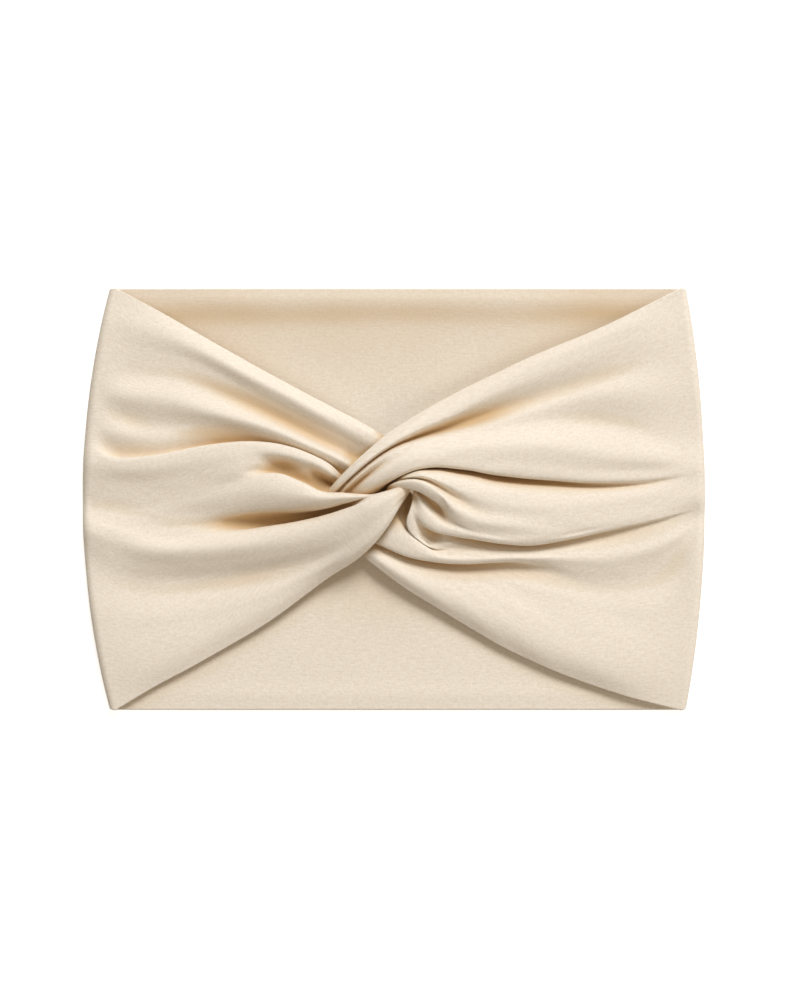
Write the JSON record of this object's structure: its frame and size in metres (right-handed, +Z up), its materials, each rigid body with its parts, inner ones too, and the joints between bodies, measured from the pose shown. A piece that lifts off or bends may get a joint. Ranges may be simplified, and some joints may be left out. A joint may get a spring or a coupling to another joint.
{
  "type": "knotted headband",
  "caption": "Wide double-layer jersey headband lying flat, its front gathered from both sides into a sewn clasp knot, with side folds and bends that let the loop open.",
  "frame": {"origin": "on the ground under the middle of the flat band", "axes": "+X along the band's width from the left side fold to the right one, +Y up the band's height in the picture, +Z up from the ground through the knot"},
  "size_m": [0.2302, 0.156, 0.0136],
  "materials": {
    "jersey": "matt cream jersey with a fine lengthwise slub and a soft brushed sheen",
    "thread": "cream spun polyester sewing thread"
  },
  "bodies": {
    "left_back": {"left_back_panel": "jersey"},
    "left_front": {"left_front_panel": "jersey"},
    "knot": {"left_knot_loop": "jersey", "right_knot_loop": "jersey", "knot_seam_turnings": "jersey", "knot_seam_thread": "thread"},
    "right_front": {"right_front_panel": "jersey"},
    "right_back": {"right_back_panel": "jersey"}
  },
  "joints": [
    {"name": "left_side_fold", "type": "hinge", "parent": "left_back", "child": "left_front", "pos_m": [-0.1153, 0, 0.00175], "axis": [0, -1, 0], "range_deg": [0, 84]},
    {"name": "knot_left_bend", "type": "hinge", "parent": "left_front", "child": "knot", "pos_m": [-0.024, 0, 0.0019], "axis": [0, 1, 0], "range_deg": [0, 46]},
    {"name": "knot_right_bend", "type": "hinge", "parent": "knot", "child": "right_front", "pos_m": [0.024, 0, 0.0019], "axis": [0, 1, 0], "range_deg": [0, 46]},
    {"name": "right_side_fold", "type": "hinge", "parent": "right_front", "child": "right_back", "pos_m": [0.1153, 0, 0.00175], "axis": [0, -1, 0], "range_deg": [0, 85]}
  ],
  "couplings": [
    {"joint": "knot_left_bend", "follows": "left_side_fold", "ratio": 0.536},
    {"joint": "knot_right_bend", "follows": "left_side_fold", "ratio": 0.536},
    {"joint": "right_side_fold", "follows": "left_side_fold", "ratio": 1}
  ]
}
